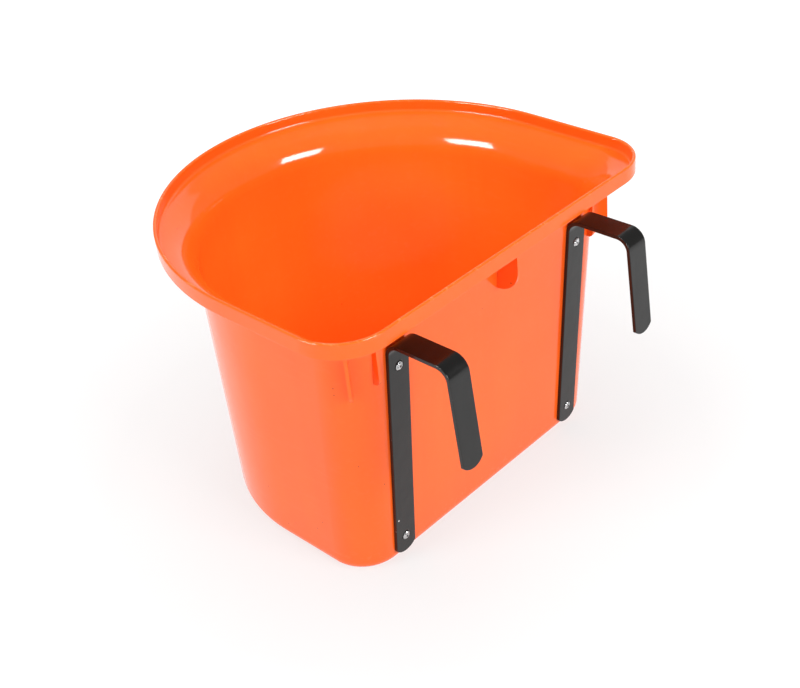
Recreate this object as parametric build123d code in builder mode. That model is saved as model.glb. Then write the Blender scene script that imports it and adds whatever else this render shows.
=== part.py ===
from build123d import *
import math
import os

os.makedirs("parts", exist_ok=True)

# Portable hook-over feed bucket: one moulded D-shaped bucket hung on a rail by two bent steel bars, each
# held to the flat back by two blind rivets.
# Frame: millimetres, +Z up, the flat back faces +Y, the round front faces -Y, the bucket stands on Z = 0 and
# the origin is the centre of the overall box at the bottom.

# ---- driving dimensions of the bucket --------------------------------------------------------------------
overall_depth = 345.4        # round front of the rim to the tip of the hooks
rim_half_width = 171.5
rim_height = 241.0           # top of the lip above the ground
rim_depth = 306.8            # front to back, lip to lip
rim_round_depth = 187.5      # depth of the round front of the rim
rim_corner_radius = 40.0
skirt_height = 12.7          # height of the upright outer band, lip included
lip_inner_height = 9.4       # from the top of the lip down to the flare
flare_drop = 5.5             # how far the flare sinks on its way in from the lip to the line of the wall
wall = 2.8                   # moulded wall thickness, lip and flare included

body_half_width = 141.5      # at the ground
body_front_y = -136.2
body_back_y = 91.6
body_round_y = 0.8           # where the straight sides meet the round front, at the ground
body_corner_radius = 33.4
side_draft = 0.020           # how far each wall leans out for each millimetre of height
front_draft = 0.047
back_draft = 0.083
round_shift = 0.050          # the same for the line where the round front begins

shoulder_radius = 28.0       # flare into wall, inside the bucket
crease_radius = 2.0          # lip into flare
lip_round = 1.3
skirt_round = 0.8
base_radius = 9.0

# ---- gussets and gate moulded on the bucket -------------------------------------------------------------
centre_fin_x = -9.0
centre_fin_reach = 128.2     # outer edge of the fin, as a Y position
centre_fin_bottom = 191.0
corner_fin_reach = 14.5      # beyond the rounded corner of the wall
corner_fin_bottom = 172.0
side_rib_x = 120.5
side_rib_reach = 5.0
side_rib_bottom = 180.0
fin_thickness = 2.4
fin_root = 2.0               # how deep a fin runs into the wall
fin_flat = 0.4               # what the rounding of a fin's lower corner leaves level
gate_radius = 5.0            # moulding gate under the base
gate_depth = 0.8

# ---- driving dimensions of the hook bars and their fasteners ---------------------------------------------
bar_width = 20.0
bar_thickness = 3.0
bar_x = 100.3                # centre of each bar from the middle of the bucket
bar_bottom = 6.5
arm_top = 209.4
leg_drop = 83.7              # from the top of the arm to the tip of the leg
leg_lean = 5.1               # degrees outward
bend_radius = 10.5           # on the centre line of the bar
bar_end_radius = 12.8        # the shallow arc that ends the strap and the leg
bar_end_spare = 1.0          # extra length, cut away as the ends are shaped
bar_corner_radius = 1.2
bar_edge_round = 0.4

rivet_heights = (22.1, 185.2)
rivet_radius = 1.6
rivet_hole_radius = 1.65
rivet_head_radius = 3.4
rivet_head_height = 1.3
rivet_head_rim = 0.25        # upright edge around the dome
dome_sagitta = -0.25
tail_round = 0.9
rivet_tail_radius = 2.5
rivet_tail_length = 3.4
mandrel_radius = 0.9
mandrel_hole_radius = 0.92
mandrel_head_radius = 1.45
mandrel_head_length = 1.4
mandrel_recess = 0.5         # how far the broken pin sits below the top of the dome
mandrel_chamfer = 0.2
washer_radius = 6.0
washer_thickness = 1.0
washer_round = 0.15

tolerance = 0.01             # for picking a face or an edge by its place or length

# ---- places worked out from them -------------------------------------------------------------------------
front_y = -overall_depth / 2
rim_back_y = front_y + rim_depth
skirt_bottom = rim_height - skirt_height
crease_height = rim_height - lip_inner_height   # where the flare meets the lip
knee_height = crease_height - flare_drop        # where flare and wall would meet if nothing were rounded
flare_width = rim_half_width - body_half_width - side_draft * knee_height
flare_slope = flare_drop / flare_width
under_knee = knee_height + wall * flare_slope - wall * math.hypot(1, flare_slope)
under_edge = under_knee + flare_slope * (flare_width - wall / 2)
hook_tip_y = overall_depth / 2
arm_outer_y = hook_tip_y - leg_drop * math.tan(math.radians(leg_lean))

back_angle = math.atan(back_draft)
back_up = (0, math.sin(back_angle), math.cos(back_angle))
back_out = (0, math.cos(back_angle), -math.sin(back_angle))
back_face = Plane(origin=(0, body_back_y, 0), x_dir=(-1, 0, 0), z_dir=back_out)
back_wall = wall * math.cos(back_angle)   # thickness of the back wall, square to it
sides = {"left": 1, "right": -1}          # as seen from behind, looking at the hooks


def back_y(height):
    """Y of the outer face of the back wall at a height."""
    return body_back_y + back_draft * height


def along_back(height):
    """Distance up the leaning back wall that reaches a height."""
    return height / math.cos(back_angle)


# ---- centre line of a hook bar, as (Y, Z) points: foot, top of the back, end of the arm, tip -------------
leg_angle = math.radians(leg_lean)
half_bar = bar_thickness / 2
arm_middle = arm_top - half_bar
foot_climb = along_back(bar_bottom)
arm_climb = (arm_middle + half_bar * math.sin(back_angle)) / math.cos(back_angle)
elbow_drop = half_bar * (1 - math.sin(leg_angle)) / math.cos(leg_angle)
leg_top = (arm_outer_y - half_bar * math.cos(leg_angle), arm_top - half_bar * math.sin(leg_angle))
leg_length = leg_drop / math.cos(leg_angle)


def strap_point(climb):
    """A point on the bar's centre line, a distance up the leaning back wall."""
    y = body_back_y + climb * math.sin(back_angle) + half_bar * math.cos(back_angle)
    z = climb * math.cos(back_angle) - half_bar * math.sin(back_angle)
    return (y, z)


def leg_point(distance):
    """A point on the bar's centre line, a distance down the leaning leg."""
    return (leg_top[0] + distance * math.sin(leg_angle), leg_top[1] - distance * math.cos(leg_angle))


bar_points = [
    strap_point(foot_climb - bar_end_spare),
    strap_point(arm_climb),
    leg_point(elbow_drop),
    leg_point(leg_length + bar_end_spare),
]
bar_end_rise = bar_end_radius - math.sqrt(bar_end_radius**2 - (bar_width / 2) ** 2)
bar_ends = [  # where the strap and the leg end, and which way their outer faces look
    (strap_point(foot_climb), back_out),
    (leg_point(leg_length), (0, math.cos(leg_angle), math.sin(leg_angle))),
]
rivet_places = [(-side * bar_x, along_back(height)) for side in sides.values() for height in rivet_heights]

# ---- levels along a rivet, measured outward from the face of the bar -------------------------------------
rivet_grip = bar_thickness + back_wall + washer_thickness
rivet_tail_end = -rivet_grip - rivet_tail_length
mandrel_top = rivet_head_height - mandrel_recess
mandrel_end = rivet_tail_end - mandrel_head_length


def d_outline(half_width, front, round_y, back, corner):
    """A D-shaped face: elliptical front, straight sides, rounded back corners and a straight back."""
    with BuildLine() as outline:
        EllipticalCenterArc((0, round_y), half_width, round_y - front, start_angle=180, arc_size=180)
        Line((half_width, round_y), (half_width, back - corner))
        CenterArc((half_width - corner, back - corner), corner, 0, 90)
        Line((half_width - corner, back), (corner - half_width, back))
        CenterArc((corner - half_width, back - corner), corner, 90, 90)
        Line((-half_width, back - corner), (-half_width, round_y))
    make_face(outline.edges())


def body_outline(height, inset=0.0):
    """The bucket wall's outline at a height, or a line that lies inside it by the inset."""
    d_outline(
        body_half_width + side_draft * height - inset,
        body_front_y - front_draft * height + inset,
        body_round_y + round_shift * height,
        back_y(height) - inset,
        body_corner_radius - inset,
    )


def rim_outline(inset=0.0):
    """The rim's outline, or a line that lies inside it by the inset."""
    d_outline(
        rim_half_width - inset,
        front_y + inset,
        front_y + rim_round_depth,
        rim_back_y - inset,
        rim_corner_radius - inset,
    )


def back_section(x):
    """The upright plane across the back wall at an X, with Y to the right and Z up."""
    return Plane(origin=(x, 0, 0), x_dir=(0, 1, 0), z_dir=(1, 0, 0))


def corner_section(side):
    """The upright plane that halves a rounded back corner of the body, from the corner's centre outward."""
    x = body_half_width + side_draft * side_rib_bottom - body_corner_radius
    y = back_y(side_rib_bottom) - body_corner_radius
    return Plane(origin=(side * x, y, 0), x_dir=(side, 1, 0), z_dir=(1, -side, 0))


def corner_reach(height):
    """Distance from a rounded back corner's centre to the wall's face, in the plane that halves it."""
    drift = (side_draft + back_draft) * (height - side_rib_bottom) / math.sqrt(2)
    return body_corner_radius + drift


def fin_face(wall_line, reach, bottom):
    """A gusset's side view: rooted in the wall, rising into the flare, its lower corner rounded off."""
    with BuildLine() as edge_line:
        Polyline(
            (wall_line(bottom) - fin_root, bottom),
            (reach, bottom),
            (reach, under_edge),
            (wall_line(under_edge) - fin_root, under_edge),
            close=True,
        )
    make_face(edge_line.edges())
    corner = edge_line.vertices().sort_by(lambda vertex: vertex.X - vertex.Y)[-1]
    fillet(corner, radius=reach - wall_line(bottom) - fin_flat)


def level_face(part, height):
    """The horizontal face of a part at a height."""
    level_faces = part.faces().filter_by(Axis.Z)
    return level_faces.filter_by_position(Axis.Z, height - tolerance, height + tolerance)[0]


def level_edges(part, height):
    """The edges of a part that lie level at a height."""
    return part.edges().filter_by_position(Axis.Z, height - tolerance, height + tolerance)


def spans_thickness(edge):
    """Whether an edge of a bar runs square through its thickness."""
    return abs(edge.length - bar_thickness) < tolerance


# ---- the moulded bucket ----------------------------------------------------------------------------------
with BuildPart() as bucket_shell:
    # leaning walls, then the flare that carries the rim
    with BuildSketch(Plane.XY):
        body_outline(0)
    with BuildSketch(Plane.XY.offset(under_knee)):
        body_outline(under_knee)
    loft()
    with BuildSketch(Plane.XY.offset(under_knee)):
        body_outline(under_knee)
    with BuildSketch(Plane.XY.offset(under_edge)):
        rim_outline(wall / 2)
    loft()
    with BuildSketch(Plane.XY.offset(under_edge)):
        rim_outline(wall / 2)
    extrude(amount=crease_height - under_edge)
    fillet(level_edges(bucket_shell.part, under_knee), radius=shoulder_radius - wall)
    fillet(level_face(bucket_shell.part, 0).edges(), radius=base_radius)

    # gussets under the flare at the back, off the wall and clear of the skirt
    with BuildSketch(back_section(centre_fin_x)):
        fin_face(back_y, centre_fin_reach, centre_fin_bottom)
    extrude(amount=fin_thickness / 2, both=True)
    for side in (1, -1):
        with BuildSketch(back_section(side * side_rib_x)):
            fin_face(back_y, back_y(side_rib_bottom) + side_rib_reach, side_rib_bottom)
        extrude(amount=fin_thickness / 2, both=True)
        with BuildSketch(corner_section(side)):
            fin_face(corner_reach, corner_reach(corner_fin_bottom) + corner_fin_reach, corner_fin_bottom)
        extrude(amount=fin_thickness / 2, both=True)

    # the hollow inside, which also trims the roots of the gussets
    with BuildSketch(Plane.XY.offset(wall)):
        body_outline(wall, wall)
    with BuildSketch(Plane.XY.offset(knee_height)):
        body_outline(knee_height, wall)
    loft(mode=Mode.SUBTRACT)
    with BuildSketch(Plane.XY.offset(knee_height)):
        body_outline(knee_height, wall)
    with BuildSketch(Plane.XY.offset(crease_height)):
        rim_outline(wall)
    loft(mode=Mode.SUBTRACT)
    fillet(level_edges(bucket_shell.part, knee_height), radius=shoulder_radius)
    fillet(level_face(bucket_shell.part, wall).edges(), radius=base_radius - wall)

    # the lip above the flare and the skirt below it are one upright band
    with BuildSketch(Plane.XY.offset(skirt_bottom)):
        rim_outline()
        with BuildSketch(mode=Mode.PRIVATE) as band_inside:
            rim_outline(wall)
        add(band_inside.sketch, mode=Mode.SUBTRACT)
    extrude(amount=skirt_height)
    fillet(level_edges(bucket_shell.part, crease_height), radius=crease_radius)
    fillet(level_face(bucket_shell.part, rim_height).edges(), radius=lip_round)
    fillet(level_face(bucket_shell.part, skirt_bottom).outer_wire().edges(), radius=skirt_round)

    # the moulding gate under the base
    with BuildSketch(Plane.XY):
        Circle(gate_radius)
    extrude(amount=gate_depth, mode=Mode.SUBTRACT)

    # rivet holes through the back
    with BuildSketch(back_face):
        with Locations(*rivet_places):
            Circle(rivet_hole_radius)
    extrude(amount=-2 * wall, mode=Mode.SUBTRACT)
bucket_shell.part.label = "bucket_shell"
export_step(bucket_shell.part, "parts/bucket_shell.step")


# ---- the two hook bars and what fastens them -------------------------------------------------------------
for name, side in sides.items():
    bar_centre = side * bar_x

    with BuildPart() as hook_bar:
        with BuildSketch(back_section(bar_centre)):
            with BuildLine() as bar_path:
                FilletPolyline(*bar_points, radius=bend_radius)
            trace(bar_path.edges(), line_width=bar_thickness)
        extrude(amount=bar_width / 2, both=True)
        for end_point, outward in bar_ends:
            with BuildSketch(Plane(origin=(bar_centre, *end_point), x_dir=(1, 0, 0), z_dir=outward)):
                with Locations((0, -bar_end_rise)):
                    Rectangle(2 * bar_width, 2 * bar_width, align=(Align.CENTER, Align.MIN))
                with Locations((0, -bar_end_radius)):
                    Circle(bar_end_radius, mode=Mode.SUBTRACT)
            extrude(amount=bar_thickness, both=True, mode=Mode.SUBTRACT)
        fillet(hook_bar.edges().filter_by(spans_thickness), radius=bar_corner_radius)
        side_edges = hook_bar.edges().filter_by(Axis.X, reverse=True)
        fillet(side_edges.filter_by(spans_thickness, reverse=True), radius=bar_edge_round)
        with BuildSketch(back_face):
            with Locations(*[place for place in rivet_places if place[0] * side < 0]):
                Circle(rivet_hole_radius)
        extrude(amount=2 * bar_thickness, mode=Mode.SUBTRACT)
    hook_bar.part.label = f"{name}_hook_bar"
    export_step(hook_bar.part, f"parts/{name}_hook_bar.step")

    for level, height in zip(("lower", "upper"), rivet_heights):
        seat = back_face.offset(bar_thickness).from_local_coords((-bar_centre, along_back(height), 0))
        section = Plane(origin=seat, x_dir=(1, 0, 0), z_dir=back_up)
        rivet_axis = Axis(seat, back_out)

        with BuildPart() as rivet:
            with BuildSketch(section):
                with BuildLine():
                    dome = SagittaArc(
                        (rivet_head_radius, rivet_head_rim),
                        (mandrel_hole_radius, rivet_head_height),
                        dome_sagitta,
                    )
                    Polyline(
                        dome @ 1,
                        (mandrel_hole_radius, rivet_tail_end),
                        (rivet_tail_radius, rivet_tail_end),
                        (rivet_tail_radius, -rivet_grip),
                        (rivet_radius, -rivet_grip),
                        (rivet_radius, 0),
                        (rivet_head_radius, 0),
                        dome @ 0,
                    )
                make_face()
            revolve(axis=rivet_axis)
            tail_edges = rivet.edges().filter_by(GeomType.CIRCLE).sort_by(rivet_axis)[:2]
            tail_rim = tail_edges.sort_by(SortBy.RADIUS)[-1]
            fillet(tail_rim, radius=tail_round)
        rivet.part.label = f"{name}_{level}_rivet"
        export_step(rivet.part, f"parts/{name}_{level}_rivet.step")

        with BuildPart() as mandrel:
            with BuildSketch(section):
                with BuildLine():
                    Polyline(
                        (0, mandrel_top),
                        (mandrel_radius - mandrel_chamfer, mandrel_top),
                        (mandrel_radius, mandrel_top - mandrel_chamfer),
                        (mandrel_radius, rivet_tail_end),
                        (mandrel_head_radius, rivet_tail_end),
                        (mandrel_head_radius, mandrel_end + mandrel_chamfer),
                        (mandrel_head_radius - mandrel_chamfer, mandrel_end),
                        (0, mandrel_end),
                        close=True,
                    )
                make_face()
            revolve(axis=rivet_axis)
        mandrel.part.label = f"{name}_{level}_mandrel"
        export_step(mandrel.part, f"parts/{name}_{level}_mandrel.step")

        with BuildPart() as washer:
            with BuildSketch(back_face.offset(-back_wall)):
                with Locations((-bar_centre, along_back(height))):
                    Circle(washer_radius)
                    Circle(rivet_hole_radius, mode=Mode.SUBTRACT)
            extrude(amount=-washer_thickness)
            outer_rims = washer.edges().filter_by(GeomType.CIRCLE).sort_by(SortBy.RADIUS)[-2:]
            fillet(outer_rims, radius=washer_round)
        washer.part.label = f"{name}_{level}_washer"
        export_step(washer.part, f"parts/{name}_{level}_washer.step")
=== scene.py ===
import math

import bpy
from mathutils import Matrix, Vector


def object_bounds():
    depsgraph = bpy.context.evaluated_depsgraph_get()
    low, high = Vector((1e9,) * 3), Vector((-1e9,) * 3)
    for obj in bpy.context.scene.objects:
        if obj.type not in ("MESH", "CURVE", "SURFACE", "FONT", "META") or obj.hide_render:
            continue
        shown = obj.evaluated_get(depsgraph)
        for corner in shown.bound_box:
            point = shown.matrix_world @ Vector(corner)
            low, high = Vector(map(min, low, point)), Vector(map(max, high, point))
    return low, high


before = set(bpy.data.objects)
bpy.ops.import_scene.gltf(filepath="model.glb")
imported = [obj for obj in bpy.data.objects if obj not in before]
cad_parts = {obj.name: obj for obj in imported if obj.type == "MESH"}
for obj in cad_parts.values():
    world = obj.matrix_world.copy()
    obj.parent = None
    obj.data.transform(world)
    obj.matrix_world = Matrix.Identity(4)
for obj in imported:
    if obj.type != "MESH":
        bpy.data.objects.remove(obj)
cad_low, cad_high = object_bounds()

# ---- camera: metres, millimetres for the lens, and degrees ---------------------------------------
CAMERA_PLACE = (0.6138, 0.6554, 0.7087)
CAMERA_AZIMUTH = 136.56  # round from the bucket's front towards +X
CAMERA_ELEVATION = 34.04
CAMERA_ROLL = -6.45
CAMERA_LENS = 60.21
SENSOR_WIDTH = 36.0

# ---- studio: metres, watts and degrees -----------------------------------------------------------
WHITE = (1.0, 1.0, 1.0, 1.0)
WORLD_STRENGTH = 0.38
FLOOR_SIZE = 30.0
FLOOR_DROP = 0.0002  # keeps the floor clear of the bucket's base
FLOOR_TONE = 0.22
FLOOR_ROUGHNESS = 0.9
FLOOR_SHINE = 0.1
FLOOR_GLOW = (0.7, 0.93)  # painted glow of the paper, near the bucket and far from it; the lower near value paints shade around the base
FLOOR_GLOW_REACH = (0.25, 0.65)  # the distances that count as near and far
SOFT_BOXES = (  # name, azimuth, elevation, distance, width, height, power, what it is seen by
    ("left_soft_box", 74, 26, 1.6, 0.72, 0.46, 13, "all"),
    ("left_glint", 74, 26, 1.59, 0.7, 0.42, 20, "glossy"),
    ("right_soft_box", 181, 27, 1.6, 0.7, 0.5, 16, "all"),
    ("right_glint", 181, 27, 1.59, 0.68, 0.46, 18, "glossy"),
    ("side_panel", 303, 20, 1.6, 1.2, 1.2, 3.6, "all"),
    ("top_fill", 0, 88, 1.9, 1.2, 1.2, 20, "diffuse"),
)
FILL_PLACE = (0.0, -0.01, 0.08)
FILL_RADIUS = 0.05
FILL_POWER = 0.4

# ---- places and sizes on the object, in metres ---------------------------------------------------
BAR_MIDDLE = 0.1003  # from the bucket's middle plane
BAR_HALF_WIDTH = 0.010
BAR_EDGE_WEAR = (0.0006, 0.0001)  # how far in from a bar's edge the wear begins and is full
RIVET_LEVELS = ((0.0965, 0.0221), (0.1100, 0.1852))  # y and z of a bar's lower and upper rivet
RIVET_PLACES = [(x, y, z) for x in (-BAR_MIDDLE, BAR_MIDDLE) for y, z in RIVET_LEVELS]
RIVET_RADIUS = 0.0034
DIMPLE_WIDTH = 0.0011
DIMPLE_DEPTH = 0.0011
CHIP_PLACE = (0.1075, 0.0981, 0.0421)
CHIP_RADIUS = 0.0007
CHIP_SOFTNESS = 0.0002
MARK_PLACES = [(x, 0.1143, 0.2265) for x in (0.1327, -0.1327)]
MARK_RADIUS = 0.003
MARK_SOFTNESS = 0.0003
MARK_DEPTH = 0.0004
BASE_WEAR_HEIGHT = 0.02
LIP_WEAR = (0.0025, 0.0002)  # how far below the lip's top the wear begins and is full

# ---- patterns ------------------------------------------------------------------------------------
# Noise: features per metre, levels of detail, squeeze along each axis, the span of the noise that
# is kept, and what that span becomes. Specks: cells per metre, size in a cell, share of the cells.
SPECK_CORE = 0.6  # how much of a speck's radius is solid

PLASTIC_CLOUD = {"scale": 7, "detail": 3, "span": (0.35, 0.65)}
PLASTIC_FLOW = {"scale": 45, "detail": 2, "squeeze": (1, 1, 0.06), "span": (0.4, 0.7)}
PLASTIC_SCRATCHES = {"scale": 260, "detail": 3, "squeeze": (1, 0.12, 1), "span": (0.56, 0.68)}
PLASTIC_SPECKS = {"scale": 120, "size": 0.07, "share": 0.08}
PLASTIC_POLISH = {"scale": 14, "detail": 4, "span": (0.3, 0.7), "result": (0.06, 0.1)}
PLASTIC_WAVES = {"scale": 9, "detail": 1}
PLASTIC_GRAIN = {"scale": 420, "detail": 2}

PAINT_FLAKING = {"scale": 190, "detail": 4, "span": (0.7, 0.73)}
PAINT_CHIPS = {"scale": 120, "size": 0.06, "share": 0.02}
PAINT_THINNING = {"scale": 80, "detail": 3}
PAINT_CLOUD = {"scale": 30, "detail": 3}
PAINT_DUST = {"scale": 300, "size": 0.1, "share": 0.12}
PAINT_POLISH = {"scale": 55, "detail": 4, "span": (0.3, 0.7), "result": (0.14, 0.24)}
PAINT_PEEL = {"scale": 500, "detail": 2}
PAINT_WAVES = {"scale": 60, "detail": 1}

METAL_TARNISH = {"scale": 220, "detail": 4, "span": (0.35, 0.7)}
METAL_GRAIN = {"scale": 1500, "detail": 2, "squeeze": (1, 1, 0.15)}
METAL_DENTS = {"scale": 520, "detail": 1}
METAL_SCRATCHES = {"scale": 900, "detail": 2, "squeeze": (0.1, 1, 1), "span": (0.62, 0.72)}
METAL_PITS = {"scale": 900, "size": 0.16, "share": 0.25}

# ---- colours, strengths and depths of the finishes -----------------------------------------------
ORANGE = (1.0, 0.116, 0.0085)
ORANGE_CLOUD = (1.0, 0.131, 0.011)
ORANGE_FLOW = (0.98, 0.103, 0.008)
ORANGE_SCUFFED = (1.0, 0.2, 0.06)
SPECK_BROWN = (0.16, 0.012, 0.003)
FLOW_STRENGTH = 0.3
FLOW_ROUGHNESS = 0.02
SCUFF_STRENGTH = (0.05, 0.6)  # on clean plastic and on worn plastic
SCUFF_ROUGHNESS = 0.35
SCUFF_DEPTH = 0.00004
PLASTIC_WAVE_DEPTH = 0.0016
PLASTIC_GRAIN_DEPTH = 0.00003
PLASTIC_SHINE = 0.37

BLACK = (0.0015, 0.0014, 0.0013)
BLACK_CLOUD = (0.005, 0.0045, 0.004)
THIN_PAINT = (0.02, 0.018, 0.016)
DUST_GREY = (0.09, 0.085, 0.08)
STEEL_GREY = (0.42, 0.42, 0.43)
PRIMER_GREY = (0.75, 0.74, 0.72)
THIN_STRENGTH = 0.5
CHIP_ROUGHNESS = 0.5
CHIP_METAL = 0.9
CHIP_DEPTH = 0.00012
PEEL_DEPTH = 0.00005
PAINT_WAVE_DEPTH = 0.00025
PAINT_SHINE = 0.4

METALS = {  # last word of the piece's name: finish, light and dark colour, roughness, dent depth
    "rivet": ("rivet_aluminium", (0.7, 0.7, 0.71), (0.3, 0.3, 0.3), (0.12, 0.25), 0.0009),
    "mandrel": ("mandrel_steel", (0.12, 0.115, 0.11), (0.03, 0.028, 0.026), (0.35, 0.55), 0.0004),
    "washer": ("washer_zinc", (0.6, 0.61, 0.63), (0.42, 0.43, 0.45), (0.3, 0.5), 0.0001),
}
PIT_TONE = 0.35  # against the metal's dark colour
GRAIN_SPAN = (0.3, 0.7)
GRAIN_DEPTH = 0.00001
SCRATCH_ROUGHNESS = 0.15


# ---- camera and studio ---------------------------------------------------------------------------
def look(azimuth, elevation, roll):
    """Axes of a camera that stands at an azimuth and elevation, turned about its line of sight."""
    a, e, r = math.radians(azimuth), math.radians(elevation), math.radians(roll)
    back = Vector((math.sin(a) * math.cos(e), -math.cos(a) * math.cos(e), math.sin(e)))
    right = Vector((math.cos(a), math.sin(a), 0))
    up = back.cross(right)
    across = right * math.cos(r) + up * math.sin(r)
    upward = up * math.cos(r) - right * math.sin(r)
    return Matrix((across, upward, back)).transposed()


def make_camera():
    data = bpy.data.cameras.new("camera")
    data.sensor_width = SENSOR_WIDTH
    data.lens = CAMERA_LENS
    data.dof.use_dof = False
    camera = bpy.data.objects.new("camera", data)
    camera.location = CAMERA_PLACE
    camera.rotation_euler = look(CAMERA_AZIMUTH, CAMERA_ELEVATION, CAMERA_ROLL).to_euler()
    bpy.context.scene.collection.objects.link(camera)
    bpy.context.scene.camera = camera


def make_world():
    world = bpy.data.worlds.new("studio")
    world.use_nodes = True
    background = world.node_tree.nodes["Background"]
    background.inputs["Color"].default_value = WHITE
    background.inputs["Strength"].default_value = WORLD_STRENGTH
    bpy.context.scene.world = world
    bpy.context.scene.view_settings.view_transform = "Standard"


def make_floor():
    """Plain pale paper with a painted glow of its own, more of it further from the bucket, so the
    weaker glow near it paints shade around the base.
    """
    bpy.ops.mesh.primitive_plane_add(size=FLOOR_SIZE, location=(0, 0, cad_low.z - FLOOR_DROP))
    floor = bpy.context.object
    floor.name = "floor"
    paper = Surface("paper")
    paper.shader.inputs["Base Color"].default_value = (FLOOR_TONE, FLOOR_TONE, FLOOR_TONE, 1)
    paper.shader.inputs["Roughness"].default_value = FLOOR_ROUGHNESS
    paper.shader.inputs["Specular IOR Level"].default_value = FLOOR_SHINE
    paper.shader.inputs["Emission Color"].default_value = WHITE
    # painted light: the floor glows, and glows less near the bucket, which paints shade around its base
    glow = paper.between(paper.distance((0, 0, 0)), FLOOR_GLOW_REACH, FLOOR_GLOW)
    paper.put(paper.shader.inputs["Emission Strength"], glow)
    floor.data.materials.append(paper.material)


def soft_box(name, azimuth, elevation, distance, width, height, power, seen_by):
    """A rectangular lamp that faces the object, seen by every surface or by one kind only."""
    target = (cad_low + cad_high) / 2
    axes = look(azimuth, elevation, 0)
    data = bpy.data.lights.new(name, "AREA")
    data.shape = "RECTANGLE"
    data.size = width
    data.size_y = height
    data.energy = power
    lamp = bpy.data.objects.new(name, data)
    lamp.matrix_world = Matrix.Translation(target + axes.col[2] * distance) @ axes.to_4x4()
    lamp.visible_diffuse = seen_by != "glossy"
    lamp.visible_glossy = seen_by != "diffuse"
    bpy.context.scene.collection.objects.link(lamp)


def inner_fill():
    """A weak glow inside the bucket, for the light that comes through its walls."""
    data = bpy.data.lights.new("inner_fill", "POINT")
    data.energy = FILL_POWER
    data.shadow_soft_size = FILL_RADIUS
    lamp = bpy.data.objects.new("inner_fill", data)
    lamp.location = FILL_PLACE
    lamp.visible_camera = False
    lamp.visible_glossy = False
    bpy.context.scene.collection.objects.link(lamp)


# ---- building blocks for the materials -----------------------------------------------------------
class Surface:
    """A procedural material; every pattern is laid out in the object's own metres."""

    def __init__(self, name):
        self.material = bpy.data.materials.new(name)
        self.material.use_nodes = True
        self.nodes = self.material.node_tree.nodes
        self.links = self.material.node_tree.links
        self.shader = self.nodes["Principled BSDF"]
        self.place = self.nodes.new("ShaderNodeTexCoord").outputs["Object"]

    def put(self, socket, value):
        """Links a value into a socket if it comes from a node, or sets it if it is a constant."""
        if isinstance(value, bpy.types.NodeSocket):
            self.links.new(value, socket)
        else:
            socket.default_value = value

    def axis(self, name):
        """One coordinate of the place on the object."""
        split = self.nodes.new("ShaderNodeSeparateXYZ")
        self.links.new(self.place, split.inputs[0])
        return split.outputs[name]

    def maths(self, operation, first, second=0.0):
        node = self.nodes.new("ShaderNodeMath")
        node.operation = operation
        self.put(node.inputs[0], first)
        self.put(node.inputs[1], second)
        return node.outputs[0]

    def between(self, value, span, result=(0.0, 1.0)):
        """Carries a value from one span to another and holds it there."""
        node = self.nodes.new("ShaderNodeMapRange")
        node.clamp = True
        for socket, setting in zip(node.inputs, (value, *span, *result)):
            self.put(socket, setting)
        return node.outputs[0]

    def noise(self, scale, detail, squeeze=(1, 1, 1), span=None, result=(0.0, 1.0)):
        """Cloudy noise with features about 1 / scale metres across; a narrow span hardens it."""
        mapping = self.nodes.new("ShaderNodeMapping")
        self.links.new(self.place, mapping.inputs["Vector"])
        mapping.inputs["Scale"].default_value = squeeze
        node = self.nodes.new("ShaderNodeTexNoise")
        self.links.new(mapping.outputs["Vector"], node.inputs["Vector"])
        node.inputs["Scale"].default_value = scale
        node.inputs["Detail"].default_value = detail
        if span is None:
            return node.outputs["Fac"]
        return self.between(node.outputs["Fac"], span, result)

    def specks(self, scale, size, share):
        """Scattered dots: one for a share of the cells, each about size / scale metres in radius."""
        cells = self.nodes.new("ShaderNodeTexVoronoi")
        self.links.new(self.place, cells.inputs["Vector"])
        cells.inputs["Scale"].default_value = scale
        split = self.nodes.new("ShaderNodeSeparateColor")
        self.links.new(cells.outputs["Color"], split.inputs[0])
        chosen = self.maths("LESS_THAN", split.outputs[0], share)
        dot = self.between(cells.outputs["Distance"], (size, size * SPECK_CORE))
        return self.maths("MULTIPLY", chosen, dot)

    def distance(self, place):
        """Distance from a place on the object."""
        node = self.nodes.new("ShaderNodeVectorMath")
        node.operation = "DISTANCE"
        self.put(node.inputs[0], self.place)
        node.inputs[1].default_value = place
        return node.outputs["Value"]

    def spot(self, place, radius, softness):
        """A round spot about a place."""
        return self.between(self.distance(place), (radius + softness, radius - softness))

    def blend(self, factor, first, second):
        """One colour into another."""
        node = self.nodes.new("ShaderNodeMixRGB")
        self.put(node.inputs["Fac"], factor)
        for socket, colour in zip((node.inputs["Color1"], node.inputs["Color2"]), (first, second)):
            self.put(socket, colour if isinstance(colour, bpy.types.NodeSocket) else (*colour, 1))
        return node.outputs["Color"]

    def bump(self, height, depth, below=None):
        """Relief of a depth in metres, on top of the relief below it."""
        node = self.nodes.new("ShaderNodeBump")
        node.inputs["Distance"].default_value = depth
        self.put(node.inputs["Height"], height)
        if below is not None:
            self.links.new(below, node.inputs["Normal"])
        return node.outputs["Normal"]

    def sink(self, pattern, depth, below):
        """Presses a pattern into the relief below it."""
        return self.bump(self.maths("SUBTRACT", 1.0, pattern), depth, below)

    def finish(self, colour, roughness, normal, metallic=0.0, specular=0.5):
        self.shader.inputs["Specular IOR Level"].default_value = specular
        for name, value in (("Base Color", colour), ("Roughness", roughness), ("Normal", normal),
                            ("Metallic", metallic)):
            self.put(self.shader.inputs[name], value)
        return self.material


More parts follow.
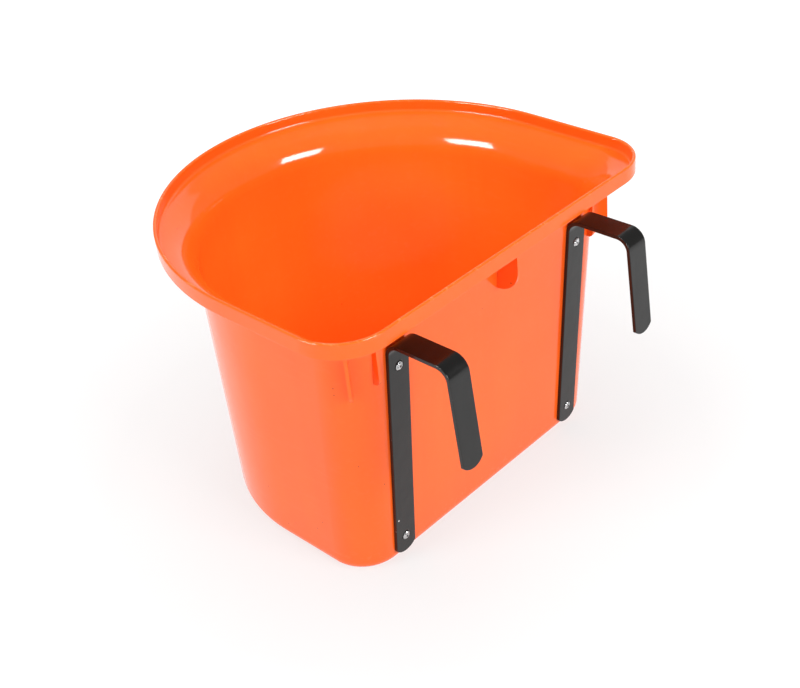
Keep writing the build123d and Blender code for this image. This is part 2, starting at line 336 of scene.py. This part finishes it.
# ---- orange plastic ------------------------------------------------------------------------------
def scuffs(surface):
    """Fine scratches, strong along the base and the lip and faint elsewhere."""
    height = surface.axis("Z")
    worn_base = surface.between(height, (cad_low.z + BASE_WEAR_HEIGHT, cad_low.z))
    worn_lip = surface.between(height, [cad_high.z - drop for drop in LIP_WEAR])
    worn = surface.maths("MAXIMUM", worn_base, worn_lip)
    strength = surface.between(worn, (0.0, 1.0), SCUFF_STRENGTH)
    return surface.maths("MULTIPLY", surface.noise(**PLASTIC_SCRATCHES), strength)


def ejector_marks(surface):
    """A round mark under the flare by each back corner."""
    left_mark, right_mark = [surface.spot(place, MARK_RADIUS, MARK_SOFTNESS) for place in MARK_PLACES]
    return surface.maths("MAXIMUM", left_mark, right_mark)


def orange_plastic():
    """Glossy moulded plastic: slightly cloudy pigment, flow lines, specks, scuffs, round marks."""
    surface = Surface("orange_plastic")
    flow = surface.noise(**PLASTIC_FLOW)
    scuff = scuffs(surface)
    colour = surface.blend(surface.noise(**PLASTIC_CLOUD), ORANGE, ORANGE_CLOUD)
    colour = surface.blend(surface.maths("MULTIPLY", flow, FLOW_STRENGTH), colour, ORANGE_FLOW)
    colour = surface.blend(scuff, colour, ORANGE_SCUFFED)
    colour = surface.blend(surface.specks(**PLASTIC_SPECKS), colour, SPECK_BROWN)

    roughness = surface.noise(**PLASTIC_POLISH)
    roughness = surface.maths("ADD", roughness, surface.maths("MULTIPLY", scuff, SCUFF_ROUGHNESS))
    roughness = surface.maths("ADD", roughness, surface.maths("MULTIPLY", flow, FLOW_ROUGHNESS))

    relief = surface.bump(surface.noise(**PLASTIC_WAVES), PLASTIC_WAVE_DEPTH)
    relief = surface.bump(surface.noise(**PLASTIC_GRAIN), PLASTIC_GRAIN_DEPTH, relief)
    relief = surface.sink(scuff, SCUFF_DEPTH, relief)
    relief = surface.sink(ejector_marks(surface), MARK_DEPTH, relief)
    return surface.finish(colour, roughness, relief, specular=PLASTIC_SHINE)


# ---- black paint ---------------------------------------------------------------------------------
def bar_edges(surface):
    """1 along the long edges of both bars, 0 over the rest of their width."""
    across = surface.maths("SUBTRACT", surface.maths("ABSOLUTE", surface.axis("X")), BAR_MIDDLE)
    from_middle = surface.maths("ABSOLUTE", across)
    return surface.between(from_middle, [BAR_HALF_WIDTH - reach for reach in BAR_EDGE_WEAR])


def dimples(surface):
    """A pressed ring around each rivet: 1 against the rivet's head, 0 clear of it."""
    span = (RIVET_RADIUS + DIMPLE_WIDTH, RIVET_RADIUS - DIMPLE_WIDTH / 2)
    rings = 0.0
    for place in RIVET_PLACES:
        ring = surface.between(surface.distance(place), span)
        rings = surface.maths("MAXIMUM", ring, rings)
    return rings


def black_paint():
    """Gloss paint on steel: orange peel, dust, edges thin and chipped, one chip down to primer."""
    surface = Surface("black_paint")
    edge = bar_edges(surface)
    chips = surface.maths("MULTIPLY", edge, surface.noise(**PAINT_FLAKING))
    chips = surface.maths("MAXIMUM", chips, surface.specks(**PAINT_CHIPS))
    primer_chip = surface.spot(CHIP_PLACE, CHIP_RADIUS, CHIP_SOFTNESS)
    thin = surface.maths("MULTIPLY", edge, surface.noise(**PAINT_THINNING))

    colour = surface.blend(surface.noise(**PAINT_CLOUD), BLACK, BLACK_CLOUD)
    colour = surface.blend(surface.maths("MULTIPLY", thin, THIN_STRENGTH), colour, THIN_PAINT)
    colour = surface.blend(surface.specks(**PAINT_DUST), colour, DUST_GREY)
    colour = surface.blend(chips, colour, STEEL_GREY)
    colour = surface.blend(primer_chip, colour, PRIMER_GREY)

    roughness = surface.noise(**PAINT_POLISH)
    roughness = surface.maths("MAXIMUM", roughness, surface.maths("MULTIPLY", chips, CHIP_ROUGHNESS))
    metallic = surface.maths("MULTIPLY", chips, CHIP_METAL)

    relief = surface.bump(surface.noise(**PAINT_PEEL), PEEL_DEPTH)
    relief = surface.bump(surface.noise(**PAINT_WAVES), PAINT_WAVE_DEPTH, relief)
    relief = surface.sink(chips, CHIP_DEPTH, relief)
    relief = surface.sink(dimples(surface), DIMPLE_DEPTH, relief)
    return surface.finish(colour, roughness, relief, metallic, PAINT_SHINE)


# ---- bare metals ---------------------------------------------------------------------------------
def bare_metal(name, light, dark, roughness_range, dent_depth):
    """Plain metal: cloudy tarnish, fine grain, small dark pits and scratches."""
    surface = Surface(name)
    grain = surface.noise(**METAL_GRAIN)
    scratches = surface.noise(**METAL_SCRATCHES)
    pits = surface.specks(**METAL_PITS)
    colour = surface.blend(surface.noise(**METAL_TARNISH), light, dark)
    colour = surface.blend(pits, colour, tuple(PIT_TONE * part for part in dark))

    roughness = surface.between(grain, GRAIN_SPAN, roughness_range)
    roughness = surface.maths("ADD", roughness, surface.maths("MULTIPLY", scratches, SCRATCH_ROUGHNESS))

    relief = surface.bump(surface.noise(**METAL_DENTS), dent_depth)
    relief = surface.bump(grain, GRAIN_DEPTH, relief)
    relief = surface.sink(scratches, GRAIN_DEPTH, relief)
    relief = surface.sink(pits, 2 * GRAIN_DEPTH, relief)
    return surface.finish(colour, roughness, relief, metallic=1.0)


# ---- the scene -----------------------------------------------------------------------------------
make_camera()
make_world()
make_floor()
for box in SOFT_BOXES:
    soft_box(*box)
inner_fill()

finishes = {"shell": orange_plastic(), "bar": black_paint()}
for last_word, metal in METALS.items():
    finishes[last_word] = bare_metal(*metal)
for name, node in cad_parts.items():
    finish = finishes[name.split("_")[-1]]
    node.data.materials.clear()
    node.data.materials.append(finish)
